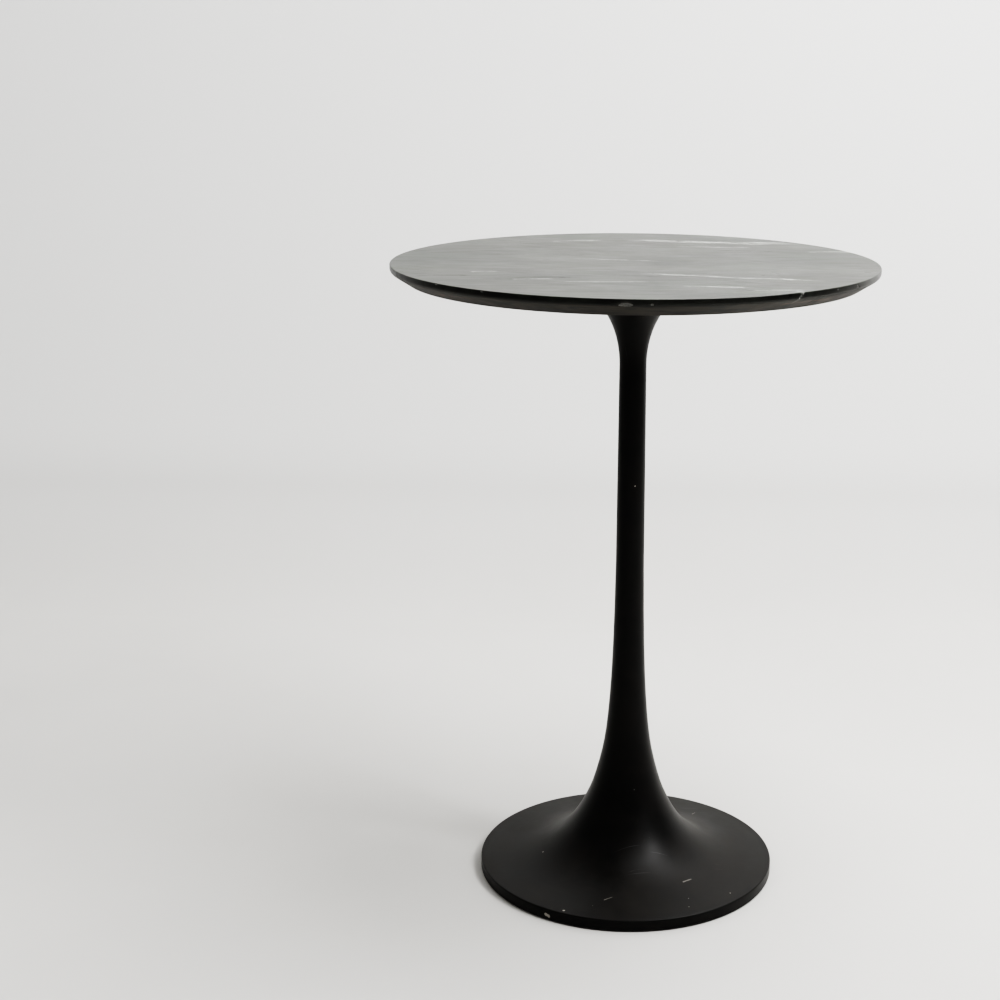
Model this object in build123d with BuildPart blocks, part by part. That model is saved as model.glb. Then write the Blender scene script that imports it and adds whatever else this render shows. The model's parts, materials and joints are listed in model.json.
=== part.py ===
"""Round pedestal side table: a bevelled stone top on a slender trumpet-shaped aluminium casting.

Millimetres, +Z up. The origin is on the floor, under the centre of the pedestal.
The stone is bolted to a steel mounting plate, the plate to the flange at the head of the
pedestal. An iron weight sits in the hollow foot, and four screw-in levellers carry the table.
"""

import os
from math import atan2, cos, sin

from build123d import *

os.makedirs("parts", exist_ok=True)

# ---------------------------------------------------------------- driving dimensions
TABLE_HEIGHT = 615.0
TOP_RADIUS = 228.5
TOP_THICKNESS = 16.0
TOP_EDGE_HEIGHT = 5.8  # the upright band of the edge, above the bevel
TOP_BEVEL_WIDTH = 16.0  # how far the bevel runs in under the top
TOP_ARRIS = 0.9
TOP_EDGE_ROUND = 3.5  # where the edge band turns into the bevel

PAD_THICKNESS = 1.5
PAD_RADIUS = 88.0
PAD_HOLE_RADIUS = 6.0
PLATE_THICKNESS = 4.0
PLATE_RADIUS = 90.0
PLATE_ROUND = 0.8

RIM_RADIUS = 147.0
RIM_BOTTOM = 1.5  # the rim hangs this far above the floor, on the levellers
RIM_TOP = 12.0
RIM_ROUND = 1.3
WALL = 5.5

FLANGE_RADIUS = 61.0
FLANGE_EDGE = 5.0
NECK_RADIUS = 12.9
NECK_TOP = 518.0  # where the stem begins to open out into the flange

STONE_SCREW_CIRCLE = 76.0  # radius of the circle of stone screws
FLANGE_SCREW_CIRCLE = 38.0
SCREW_COUNT = 4
FIRST_PLACE = 45.0  # degrees from +X to the first screw or leveller of every circle
SCREW_RADIUS = 3.0  # M6
THREAD_GAP = 0.05  # radial gap that stands for the thread

LEVELLER_COUNT = 4
LEVELLER_CIRCLE = 127.0

# ---------------------------------------------------------------- heights worked out from them
STONE_UNDERSIDE = TABLE_HEIGHT - TOP_THICKNESS
PLATE_TOP = STONE_UNDERSIDE - PAD_THICKNESS
FLANGE_TOP = PLATE_TOP - PLATE_THICKNESS
FLANGE_UNDERSIDE = FLANGE_TOP - FLANGE_EDGE

# Radius and height where the outside of the casting passes, from the foot's rim to the neck.
TRUMPET = [
    (RIM_RADIUS, RIM_TOP),
    (122.0, 14.4),
    (100.0, 18.2),
    (82.0, 25.2),
    (67.0, 36.0),
    (55.0, 49.5),
    (44.0, 67.5),
    (36.4, 84.0),
    (30.2, 103.5),
    (24.2, 129.0),
    (19.9, 161.0),
    (17.0, 201.0),
    (14.8, 261.0),
    (13.6, 341.0),
    (13.1, 430.0),
    (NECK_RADIUS, NECK_TOP),
]
TRUMPET_ENDS = [(-1, 0.07), (0, 1)]  # the directions it sets out in and arrives in


def inset(stations, depth):
    """The same curve, moved square to itself by depth, down and inwards into the casting."""
    moved = []
    for before, here, after in zip(stations, stations[1:], stations[2:]):
        slope = atan2(after[1] - before[1], after[0] - before[0])
        moved.append((here[0] - depth * sin(slope), here[1] + depth * cos(slope)))
    return moved


def save(part, name):
    """Labels one finished sub-part and writes its STEP file."""
    part.label = name
    export_step(part, f"parts/{name}.step")


def on_circle(radius, count=SCREW_COUNT):
    """The places of a bolt circle, in the plane of whatever is being built."""
    return PolarLocations(radius, count, start_angle=FIRST_PLACE)


# ================================================================ stone top
# A disc with an upright edge band and a long bevel under it, so that the slab looks thin.
INSERT_RADIUS = 5.0
INSERT_LENGTH = 9.0

with BuildPart() as stone_top:
    with BuildSketch(Plane.XZ) as half_section:
        with BuildLine():
            Polyline(
                (0, STONE_UNDERSIDE),
                (TOP_RADIUS - TOP_BEVEL_WIDTH, STONE_UNDERSIDE),
                (TOP_RADIUS, TABLE_HEIGHT - TOP_EDGE_HEIGHT),
                (TOP_RADIUS, TABLE_HEIGHT),
                (0, TABLE_HEIGHT),
                close=True,
            )
        make_face()
        fillet(half_section.vertices().group_by(Axis.X)[-1].sort_by(Axis.Y)[-1], TOP_ARRIS)
        fillet(half_section.vertices().group_by(Axis.X)[-1].sort_by(Axis.Y)[0], TOP_EDGE_ROUND)
    revolve(axis=Axis.Z)
    with BuildSketch(Plane.XY.offset(STONE_UNDERSIDE)):
        with on_circle(STONE_SCREW_CIRCLE):
            Circle(INSERT_RADIUS)
    extrude(amount=INSERT_LENGTH, mode=Mode.SUBTRACT)
save(stone_top.part, "stone_top")

# ================================================================ threaded inserts in the stone
# Brass bushes bonded into blind holes, with two grooves that the adhesive keys into.
GROOVE_DEPTH = 0.5
GROOVE_WIDTH = 1.0
GROOVE_SHARES = (0.3, 0.65)  # of the way up the insert

with BuildPart() as stone_inserts:
    with BuildSketch(Plane.XY.offset(STONE_UNDERSIDE)):
        with on_circle(STONE_SCREW_CIRCLE):
            Circle(INSERT_RADIUS)
            Circle(SCREW_RADIUS + THREAD_GAP, mode=Mode.SUBTRACT)
    extrude(amount=INSERT_LENGTH)
    for share in GROOVE_SHARES:
        with BuildSketch(Plane.XY.offset(STONE_UNDERSIDE + share * INSERT_LENGTH)):
            with on_circle(STONE_SCREW_CIRCLE):
                Circle(INSERT_RADIUS)
                Circle(INSERT_RADIUS - GROOVE_DEPTH, mode=Mode.SUBTRACT)
        extrude(amount=GROOVE_WIDTH, mode=Mode.SUBTRACT)
save(stone_inserts.part, "stone_inserts")

# ================================================================ rubber pad under the stone
# It keeps the steel off the stone, and is cut away round the inserts.
with BuildPart() as stone_pad:
    with BuildSketch(Plane.XY.offset(PLATE_TOP)):
        Circle(PAD_RADIUS)
        with on_circle(STONE_SCREW_CIRCLE):
            Circle(PAD_HOLE_RADIUS, mode=Mode.SUBTRACT)
    extrude(amount=PAD_THICKNESS)
save(stone_pad.part, "stone_pad")

# ================================================================ mounting plate
COUNTERSINK_RADIUS = 6.2
SCREW_HOLE_RADIUS = 3.3

with BuildPart() as mounting_plate:
    with BuildSketch(Plane.XY.offset(FLANGE_TOP)):
        Circle(PLATE_RADIUS)
        with on_circle(STONE_SCREW_CIRCLE):
            Circle(SCREW_HOLE_RADIUS, mode=Mode.SUBTRACT)
    extrude(amount=PLATE_THICKNESS)
    fillet(mounting_plate.edges().filter_by(GeomType.CIRCLE).sort_by(SortBy.LENGTH)[-2:], PLATE_ROUND)
    with Locations(Plane.XY.offset(PLATE_TOP)):
        with on_circle(FLANGE_SCREW_CIRCLE):
            CounterSinkHole(SCREW_HOLE_RADIUS, COUNTERSINK_RADIUS, PLATE_THICKNESS)
save(mounting_plate.part, "mounting_plate")

# ================================================================ screws that hold the plate to the pedestal
# Countersunk, flush with the plate, under the rubber pad.
SUNK_HEAD_RADIUS = 6.0
SUNK_HEAD_HEIGHT = 3.0
FLANGE_SCREW_LENGTH = 12.0
HEX_SOCKET = 4.0  # across the flats
SOCKET_DEPTH = 1.9

with BuildPart() as flange_screws:
    with on_circle(FLANGE_SCREW_CIRCLE):
        with Locations((0, 0, PLATE_TOP - FLANGE_SCREW_LENGTH)):
            Cylinder(SCREW_RADIUS, FLANGE_SCREW_LENGTH, align=(Align.CENTER, Align.CENTER, Align.MIN))
        with Locations((0, 0, PLATE_TOP - SUNK_HEAD_HEIGHT)):
            Cone(
                SCREW_RADIUS,
                SUNK_HEAD_RADIUS,
                SUNK_HEAD_HEIGHT,
                align=(Align.CENTER, Align.CENTER, Align.MIN),
            )
    with BuildSketch(Plane.XY.offset(PLATE_TOP)):
        with on_circle(FLANGE_SCREW_CIRCLE):
            RegularPolygon(HEX_SOCKET / 2, 6, major_radius=False)
    extrude(amount=-SOCKET_DEPTH, mode=Mode.SUBTRACT)
save(flange_screws.part, "flange_screws")

# ================================================================ washers and screws that hold the stone
WASHER_THICKNESS = 1.6
WASHER_RADIUS = 6.25
WASHER_HOLE_RADIUS = 3.2
SPRING_WASHER_RADIUS = 5.9
SPRING_WASHER_HOLE_RADIUS = 3.15
SPLIT_WIDTH = 1.2
SPLIT_CENTRE = 3.95
SPLIT_ANGLE = 18.0
HEAD_RADIUS = 5.25
HEAD_HEIGHT = 3.3
HEAD_ROUND = 2.2
STONE_SCREW_LENGTH = 16.0

flat_washer_bottom = FLANGE_TOP - WASHER_THICKNESS
spring_washer_bottom = flat_washer_bottom - WASHER_THICKNESS
head_bottom = spring_washer_bottom - HEAD_HEIGHT

with BuildPart() as flat_washers:
    with BuildSketch(Plane.XY.offset(flat_washer_bottom)):
        with on_circle(STONE_SCREW_CIRCLE):
            Circle(WASHER_RADIUS)
            Circle(WASHER_HOLE_RADIUS, mode=Mode.SUBTRACT)
    extrude(amount=WASHER_THICKNESS)
save(flat_washers.part, "flat_washers")

with BuildPart() as spring_washers:
    with BuildSketch(Plane.XY.offset(spring_washer_bottom)):
        with on_circle(STONE_SCREW_CIRCLE):
            Circle(SPRING_WASHER_RADIUS)
            Circle(SPRING_WASHER_HOLE_RADIUS, mode=Mode.SUBTRACT)
            with Locations((SPLIT_CENTRE, 0)):
                Rectangle(SPRING_WASHER_RADIUS, SPLIT_WIDTH, rotation=SPLIT_ANGLE, mode=Mode.SUBTRACT)
    extrude(amount=WASHER_THICKNESS)
save(spring_washers.part, "spring_washers")

with BuildPart() as stone_screws:
    with on_circle(STONE_SCREW_CIRCLE):
        with Locations((0, 0, spring_washer_bottom)):
            Cylinder(SCREW_RADIUS, STONE_SCREW_LENGTH, align=(Align.CENTER, Align.CENTER, Align.MIN))
        with Locations((0, 0, head_bottom)):
            Cylinder(HEAD_RADIUS, HEAD_HEIGHT, align=(Align.CENTER, Align.CENTER, Align.MIN))
    head_edges = stone_screws.edges().group_by(Axis.Z)[0]
    fillet(head_edges, HEAD_ROUND)
    with BuildSketch(Plane.XY.offset(head_bottom)):
        with on_circle(STONE_SCREW_CIRCLE):
            RegularPolygon(HEX_SOCKET / 2, 6, major_radius=False)
    extrude(amount=SOCKET_DEPTH, mode=Mode.SUBTRACT)
save(stone_screws.part, "stone_screws")

# ================================================================ hollow of the foot
# Half of its section. It follows the outside of the casting at one wall's depth, and runs up
# into the bottom of the stem.
HOLLOW_TOP = 100.0
CEILING_LIMIT = 90.0  # the curved ceiling ends below this height, inside the central boss
CEILING_STEP = 1.0  # the drop from the ceiling's outer end to the inside of the rim
BALLAST_BOSS_RADIUS = 13.0

with BuildSketch(Plane.XZ) as hollow_section:
    with BuildLine():
        ceiling = Spline(*[(r, z) for r, z in inset(TRUMPET, WALL) if z < CEILING_LIMIT])
        Polyline(
            ceiling @ 0,
            (RIM_RADIUS - WALL, (ceiling @ 0).Y - CEILING_STEP),
            (RIM_RADIUS - WALL, RIM_BOTTOM),
            (0, RIM_BOTTOM),
            (0, HOLLOW_TOP),
            (BALLAST_BOSS_RADIUS, HOLLOW_TOP),
            ceiling @ 1,
        )
    make_face()

# ================================================================ ballast weight
# An iron casting that fills the middle of the hollow foot, held by one bolt up into the pedestal.
BALLAST_BOTTOM = 4.0
BALLAST_LIMIT = 48.0  # no point of its shoulder is higher
BALLAST_RADIUS = 105.0
BALLAST_GAP = 3.5  # air between the weight and the wall of the foot
BOLT_RADIUS = 5.0  # M10
BOLT_HOLE_RADIUS = 5.5
BOLT_RECESS_RADIUS = 13.0
BOLT_RECESS_DEPTH = 9.5

shoulder_points = [
    (r, z)
    for r, z in inset(TRUMPET, WALL + BALLAST_GAP)
    if r < BALLAST_RADIUS and z < BALLAST_LIMIT
]
BALLAST_TOP = shoulder_points[-1][1]

with BuildPart() as ballast_weight:
    with BuildSketch(Plane.XZ):
        with BuildLine():
            shoulder = Spline(*shoulder_points)
            Polyline(
                shoulder @ 1,
                (0, BALLAST_TOP),
                (0, BALLAST_BOTTOM),
                ((shoulder @ 0).X, BALLAST_BOTTOM),
                shoulder @ 0,
            )
        make_face()
    revolve(axis=Axis.Z)
    with Locations(Plane.XY.offset(BALLAST_BOTTOM)):
        Cylinder(
            BOLT_RECESS_RADIUS,
            BOLT_RECESS_DEPTH,
            align=(Align.CENTER, Align.CENTER, Align.MIN),
            mode=Mode.SUBTRACT,
        )
    Hole(BOLT_HOLE_RADIUS)
save(ballast_weight.part, "ballast_weight")

# ================================================================ pedestal casting
# Foot, stem and flange in one piece. The stem is solid, and the hollow foot has a central boss
# for the ballast bolt and a boss for each leveller.
BOLT_HOLE_TOP = 62.0
FLANGE_HOLE_DEPTH = 9.0
FLANGE_ROUND = 1.2
LEVELLER_BOSS_RADIUS = 9.0
LEVELLER_BOSS_BOTTOM = 3.5
LEVELLER_HOLE_TOP = 10.4
BOSS_OVERLAP = 1.0  # how far each boss runs into the wall above it
STUD_RADIUS = 4.0  # M8

with BuildPart() as pedestal:
    with BuildSketch(Plane.XZ):
        with BuildLine():
            trumpet = Spline(*TRUMPET, tangents=TRUMPET_ENDS)
            flare = EllipticalCenterArc(
                (FLANGE_RADIUS, NECK_TOP),
                FLANGE_RADIUS - NECK_RADIUS,
                FLANGE_UNDERSIDE - NECK_TOP,
                start_angle=90,
                arc_size=90,
            )
            Polyline(
                flare @ 0,
                (FLANGE_RADIUS, FLANGE_TOP),
                (0, FLANGE_TOP),
                (0, RIM_BOTTOM),
                (RIM_RADIUS, RIM_BOTTOM),
                trumpet @ 0,
            )
        make_face()
    revolve(axis=Axis.Z)
    round_edges = pedestal.edges().filter_by(GeomType.CIRCLE)
    fillet(round_edges.sort_by(SortBy.LENGTH)[-2:].sort_by(Axis.Z)[-1], RIM_ROUND)
    round_edges = pedestal.edges().filter_by(GeomType.CIRCLE)
    fillet(round_edges.sort_by(Axis.Z)[-2:], FLANGE_ROUND)
    add(revolve(hollow_section.sketch, axis=Axis.Z, mode=Mode.PRIVATE), mode=Mode.SUBTRACT)

    # bosses
    with BuildSketch(Plane.XY.offset(BALLAST_TOP)):
        Circle(BALLAST_BOSS_RADIUS)
    extrude(amount=HOLLOW_TOP - BALLAST_TOP + BOSS_OVERLAP)
    with BuildSketch(Plane.XY.offset(LEVELLER_BOSS_BOTTOM)):
        with on_circle(LEVELLER_CIRCLE, LEVELLER_COUNT):
            Circle(LEVELLER_BOSS_RADIUS)
    extrude(amount=LEVELLER_HOLE_TOP - LEVELLER_BOSS_BOTTOM + BOSS_OVERLAP)

    # tapped holes: the ballast bolt's, the levellers' and the mounting plate's
    with BuildSketch(Plane.XY.offset(BALLAST_TOP)):
        Circle(BOLT_RADIUS + THREAD_GAP)
    extrude(amount=BOLT_HOLE_TOP - BALLAST_TOP, mode=Mode.SUBTRACT)
    with BuildSketch(Plane.XY.offset(LEVELLER_BOSS_BOTTOM)):
        with on_circle(LEVELLER_CIRCLE, LEVELLER_COUNT):
            Circle(STUD_RADIUS + THREAD_GAP)
    extrude(amount=LEVELLER_HOLE_TOP - LEVELLER_BOSS_BOTTOM, mode=Mode.SUBTRACT)
    with BuildSketch(Plane.XY.offset(FLANGE_TOP)):
        with on_circle(FLANGE_SCREW_CIRCLE):
            Circle(SCREW_RADIUS + THREAD_GAP)
    extrude(amount=-FLANGE_HOLE_DEPTH, mode=Mode.SUBTRACT)
save(pedestal.part, "pedestal")

# ================================================================ ballast bolt and washer
BOLT_WASHER_RADIUS = 10.5
BOLT_WASHER_HOLE_RADIUS = 5.3
BOLT_WASHER_THICKNESS = 2.0
BOLT_HEAD_HEIGHT = 6.4
BOLT_HEAD_FLATS = 16.0
BOLT_LENGTH = 45.0
BOLT_TIP = 1.0  # chamfer

recess_ceiling = BALLAST_BOTTOM + BOLT_RECESS_DEPTH
bolt_seat = recess_ceiling - BOLT_WASHER_THICKNESS

with BuildPart() as ballast_washer:
    with BuildSketch(Plane.XY.offset(bolt_seat)):
        Circle(BOLT_WASHER_RADIUS)
        Circle(BOLT_WASHER_HOLE_RADIUS, mode=Mode.SUBTRACT)
    extrude(amount=BOLT_WASHER_THICKNESS)
save(ballast_washer.part, "ballast_washer")

with BuildPart() as ballast_bolt:
    with BuildSketch(Plane.XY.offset(bolt_seat - BOLT_HEAD_HEIGHT)):
        RegularPolygon(BOLT_HEAD_FLATS / 2, 6, major_radius=False)
    extrude(amount=BOLT_HEAD_HEIGHT)
    with BuildSketch(Plane.XY.offset(bolt_seat)):
        Circle(BOLT_RADIUS)
    extrude(amount=BOLT_LENGTH)
    chamfer(ballast_bolt.faces().sort_by(Axis.Z)[-1].edges(), BOLT_TIP)
save(ballast_bolt.part, "ballast_bolt")

# ================================================================ levellers
# A zinc-plated stud with a flat head, and a nylon foot moulded round that head.
FOOT_RADIUS = 12.0
FOOT_HEIGHT = 3.2
FOOT_LOWER_ROUND = 0.8
FOOT_UPPER_ROUND = 0.4
STUD_HEAD_RADIUS = 7.0
STUD_HEAD_BOTTOM = 1.0
STUD_HEAD_HEIGHT = 1.4
STUD_END_GAP = 0.5  # between the stud and the end of its hole
STUD_TIP = 0.6  # chamfer

stud_top = LEVELLER_HOLE_TOP - STUD_END_GAP
leveller_places = on_circle(LEVELLER_CIRCLE, LEVELLER_COUNT).local_locations

for number, centre in enumerate([place.position for place in leveller_places], start=1):
    stud_plane = Plane(origin=centre)

    with BuildPart() as stud:
        with BuildSketch(stud_plane.offset(STUD_HEAD_BOTTOM)):
            Circle(STUD_HEAD_RADIUS)
        extrude(amount=STUD_HEAD_HEIGHT)
        with BuildSketch(stud_plane.offset(STUD_HEAD_BOTTOM)):
            Circle(STUD_RADIUS)
        extrude(amount=stud_top - STUD_HEAD_BOTTOM)
        chamfer(stud.faces().sort_by(Axis.Z)[-1].edges(), STUD_TIP)
    save(stud.part, f"leveller_stud_{number}")

    with BuildPart() as foot:
        with BuildSketch(stud_plane):
            Circle(FOOT_RADIUS)
        extrude(amount=FOOT_HEIGHT)
        fillet(foot.edges().group_by(Axis.Z)[0], FOOT_LOWER_ROUND)
        fillet(foot.edges().group_by(Axis.Z)[-1], FOOT_UPPER_ROUND)
        with BuildSketch(stud_plane.offset(STUD_HEAD_BOTTOM)):
            Circle(STUD_HEAD_RADIUS)
        extrude(amount=STUD_HEAD_HEIGHT, mode=Mode.SUBTRACT)
        with BuildSketch(stud_plane.offset(STUD_HEAD_BOTTOM)):
            Circle(STUD_RADIUS)
        extrude(amount=FOOT_HEIGHT, mode=Mode.SUBTRACT)
    save(foot.part, f"leveller_foot_{number}")
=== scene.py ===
# %% [markdown]
# # A round side table: dark stone on a black trumpet casting
#
# The mechanical model already knows every size, every fastener and how the levellers move. What it
# lacks is surface. This lesson keeps that model as a fixed frame and dresses it piece by piece: the
# stone slab with its veins and its worn edge, the powder-coated casting, the screws underneath, and
# the light that lets black things be seen.

# %% Load the mechanical model
import json
from math import cos, hypot, pi, radians, sin

import bmesh
import bpy
from mathutils import Matrix, Vector, noise

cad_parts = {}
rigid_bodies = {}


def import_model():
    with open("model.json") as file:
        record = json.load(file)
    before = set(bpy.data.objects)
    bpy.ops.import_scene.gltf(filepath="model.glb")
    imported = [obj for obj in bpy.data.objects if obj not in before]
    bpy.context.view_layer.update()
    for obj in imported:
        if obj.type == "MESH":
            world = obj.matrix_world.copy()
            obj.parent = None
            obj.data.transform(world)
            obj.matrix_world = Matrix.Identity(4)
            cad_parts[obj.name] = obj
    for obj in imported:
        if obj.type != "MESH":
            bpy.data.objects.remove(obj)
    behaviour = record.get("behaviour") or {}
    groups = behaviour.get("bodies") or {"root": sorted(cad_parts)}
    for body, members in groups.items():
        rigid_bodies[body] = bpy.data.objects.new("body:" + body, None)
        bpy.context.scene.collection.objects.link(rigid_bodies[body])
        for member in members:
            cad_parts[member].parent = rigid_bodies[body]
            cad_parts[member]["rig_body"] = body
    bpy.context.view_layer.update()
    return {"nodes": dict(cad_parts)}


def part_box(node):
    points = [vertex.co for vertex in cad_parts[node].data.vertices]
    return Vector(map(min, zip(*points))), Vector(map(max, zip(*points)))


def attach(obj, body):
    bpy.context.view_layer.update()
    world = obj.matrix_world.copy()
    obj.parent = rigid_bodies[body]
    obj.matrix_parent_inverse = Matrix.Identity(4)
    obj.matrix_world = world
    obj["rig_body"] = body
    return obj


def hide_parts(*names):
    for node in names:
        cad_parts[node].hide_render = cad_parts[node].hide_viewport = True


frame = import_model()

# %% [markdown]
# ## The sizes this lesson works from
#
# Nothing is measured twice. Each size comes from the box of a part in the mechanical model, so if
# that model changes, the pieces built here follow it.

# %% Read the sizes
MM = 0.001
MERGE = 1e-6  # vertices closer than this are one vertex

stone_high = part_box("stone_top")[1]
casting_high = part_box("pedestal")[1]
TOP_RADIUS = stone_high.x
TOP_HEIGHT = stone_high.z
FOOT_RADIUS = casting_high.x
print(f"top {2 * TOP_RADIUS:.3f} m across, {TOP_HEIGHT:.3f} m high, foot {2 * FOOT_RADIUS:.3f} m")

# %% [markdown]
# ## Helpers for building pieces
#
# Most of this table was turned on a lathe or cast from a turned pattern. On a lathe only half of the
# section matters, so the natural tool is Spin: draw the half section once and sweep it round the
# axis. The section itself can be cut from the mechanical model with Bisect, which is exact and needs
# no list of points.


# %% A turned piece's half section, cut from its node
def half_section(node):
    """A bmesh holding the wire where the XZ plane cuts the node, on the side of +X."""
    bm = bmesh.new()
    bm.from_mesh(frame["nodes"][node].data)
    bmesh.ops.remove_doubles(bm, verts=bm.verts, dist=MERGE)
    everything = bm.verts[:] + bm.edges[:] + bm.faces[:]
    bmesh.ops.bisect_plane(
        bm, geom=everything, dist=MERGE, plane_co=(0, 0, 0), plane_no=(0, 1, 0),
        clear_inner=True, clear_outer=True,
    )
    bmesh.ops.bisect_plane(
        bm, geom=bm.verts[:] + bm.edges[:], dist=MERGE, plane_co=(0, 0, 0), plane_no=(1, 0, 0),
        clear_inner=True,
    )
    bmesh.ops.dissolve_limit(bm, angle_limit=radians(0.3), verts=bm.verts, edges=bm.edges)
    return bm


def outline(points):
    """A bmesh holding a wire through (radius, height) points, in the XZ plane."""
    bm = bmesh.new()
    verts = [bm.verts.new((r, 0, z)) for r, z in points]
    for start, end in zip(verts, verts[1:]):
        bm.edges.new((start, end))
    return bm


# %% [markdown]
# A long flat stretch beside a tight rounding shades badly, because the normals at their shared
# vertices lean over and the flat stretch looks bent. A modeller adds a support loop: one extra ring
# on the flat stretch, close to the rounding. Here that is one edge split for each such place.


# %% Support points on the wire, then the spin
def add_support(bm, near=0.8 * MM, long_edge=4 * MM):
    """Splits each long edge of the wire close to both its ends."""
    for edge in [e for e in bm.edges if e.calc_length() > long_edge]:
        first, last = edge.verts
        bmesh.utils.edge_split(edge, first, near / edge.calc_length())
        edge = next(e for e in last.link_edges if e.calc_length() > long_edge / 2)
        bmesh.utils.edge_split(edge, last, near / edge.calc_length())


def turn(bm, steps):
    """Spins the wire all the way round the Z axis and closes the poles."""
    bmesh.ops.spin(
        bm, geom=bm.verts[:] + bm.edges[:], cent=(0, 0, 0), axis=(0, 0, 1),
        angle=2 * pi, steps=steps, use_merge=True,
    )
    bmesh.ops.remove_doubles(bm, verts=bm.verts, dist=MERGE)
    bmesh.ops.recalc_face_normals(bm, faces=bm.faces)
    return bm


# %% [markdown]
# Repeated pieces stand at the corners of a square, because every bolt circle here starts at 45
# degrees. Their centres are read from the node: its vertices are sorted by quadrant, and the middle
# of each quadrant's box is one centre.

# %% Where four repeated pieces stand
QUADRANTS = [(1, 1), (-1, 1), (-1, -1), (1, -1)]


def four_places(node):
    """The centre, in X and Y, of the node's solid in each quadrant."""
    places = []
    for side_x, side_y in QUADRANTS:
        corners = [v.co for v in frame["nodes"][node].data.vertices
                   if v.co.x * side_x > 0 and v.co.y * side_y > 0]
        xs = [co.x for co in corners]
        ys = [co.y for co in corners]
        places.append(Vector(((min(xs) + max(xs)) / 2, (min(ys) + max(ys)) / 2, 0)))
    return places


def repeat_at(bm, places):
    """Copies what the bmesh holds to every place, and leaves nothing at the origin."""
    original = bm.verts[:] + bm.edges[:] + bm.faces[:]
    original_verts = bm.verts[:]
    for place in places:
        copied = bmesh.ops.duplicate(bm, geom=original)["geom"]
        verts = [item for item in copied if isinstance(item, bmesh.types.BMVert)]
        bmesh.ops.translate(bm, verts=verts, vec=place)
    bmesh.ops.delete(bm, geom=original_verts, context="VERTS")
    return bm


# %% Make the finished object, and say what it stands for
def finish_piece(bm, name, node, materials, sharp=35):
    """Turns a bmesh into an object that replaces a node and rides on that node's body."""
    mesh = bpy.data.meshes.new(name)
    bm.to_mesh(mesh)
    bm.free()
    mesh.shade_smooth()
    mesh.set_sharp_from_angle(angle=radians(sharp))
    for material in materials:
        mesh.materials.append(material)
    piece = bpy.data.objects.new(name, mesh)
    bpy.context.scene.collection.objects.link(piece)
    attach(piece, frame["nodes"][node]["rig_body"])
    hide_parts(node)
    mesh.calc_loop_triangles()
    print(f"{name}: {len(mesh.loop_triangles)} triangles, stands for {node}")
    return piece


# %% [markdown]
# Holes, sockets and broken corners are cuts. Boolean is the direct tool for them: it keeps both
# bodies exact, and with its material mode set to transfer, the cut surface keeps the cutter's own
# material. That is how fresh broken stone can look different from the polished face around it.


# %% Cut one bmesh out of another
def scratch_object(bm, materials=()):
    """A temporary object for a Boolean to work on."""
    mesh = bpy.data.meshes.new("scratch")
    bm.to_mesh(mesh)
    bm.free()
    for material in materials:
        mesh.materials.append(material)
    made = bpy.data.objects.new("scratch", mesh)
    bpy.context.scene.collection.objects.link(made)
    return made


def combine(bm, tool, operation, materials=(), tool_materials=()):
    """Applies a Boolean between two bmeshes and returns the result as a new bmesh."""
    body = scratch_object(bm, materials)
    cutter = scratch_object(tool, tool_materials)
    modifier = body.modifiers.new("cut", "BOOLEAN")
    modifier.operation = operation
    modifier.solver = "EXACT"
    modifier.material_mode = "TRANSFER"
    modifier.object = cutter
    evaluated = body.evaluated_get(bpy.context.evaluated_depsgraph_get())
    result = bmesh.new()
    result.from_mesh(evaluated.to_mesh())
    evaluated.to_mesh_clear()
    bmesh.ops.remove_doubles(result, verts=result.verts, dist=MERGE)
    bmesh.ops.dissolve_degenerate(result, edges=result.edges, dist=MERGE)
    for used in (body, cutter):
        mesh = used.data
        bpy.data.objects.remove(used)
        bpy.data.meshes.remove(mesh)
    return result


def drum(radius, low, high, segments=48):
    """A closed upright cylinder as a bmesh, between two heights."""
    bm = bmesh.new()
    bmesh.ops.create_cone(
        bm, cap_ends=True, segments=segments, radius1=radius, radius2=radius, depth=high - low,
        matrix=Matrix.Translation((0, 0, (low + high) / 2)),
    )
    return bm


# %% [markdown]
# ## Helpers for building materials
#
# A procedural material is a small machine, and most of its wiring is the same few moves. `put` adds
# a node and fills its inputs by name: a socket is linked, and anything else is set as the value.


# %% Nodes by name
def put(tree, kind, settings=None, **inputs):
    """Adds a shader node. An input's name is written with _ for a space."""
    made = tree.nodes.new("ShaderNode" + kind)
    for key, value in (settings or {}).items():
        setattr(made, key, value)
    for key, value in inputs.items():
        fill(tree, made.inputs[key.replace("_", " ")], value)
    return made


def fill(tree, socket, value):
    """Links a socket to an input, or sets the input's own value."""
    if isinstance(value, bpy.types.NodeSocket):
        tree.links.new(value, socket)
    else:
        socket.default_value = value


def maths(tree, operation, *values, clamp=False):
    """A Math node's result."""
    made = put(tree, "Math", {"operation": operation, "use_clamp": clamp})
    for socket, value in zip(made.inputs, values):
        fill(tree, socket, value)
    return made.outputs[0]


def times(tree, first, second):
    """Two values multiplied."""
    return maths(tree, "MULTIPLY", first, second)


def plus(tree, first, second, clamp=False):
    """Two values added."""
    return maths(tree, "ADD", first, second, clamp=clamp)


def minus(tree, first, second, clamp=False):
    """The second value taken from the first."""
    return maths(tree, "SUBTRACT", first, second, clamp=clamp)


def layered(tree, base, *layers):
    """A base value plus each (mask, amount) pair's product."""
    for mask, amount in layers:
        base = plus(tree, base, times(tree, mask, amount))
    return base


def mix(tree, factor, first, second, kind="MIX"):
    """A colour that goes from first to second as factor goes from 0 to 1."""
    made = put(tree, "Mix", {"data_type": "RGBA", "blend_type": kind, "clamp_factor": True})
    for index, value in ((0, factor), (6, first), (7, second)):
        fill(tree, made.inputs[index], value)
    return made.outputs[2]


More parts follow.
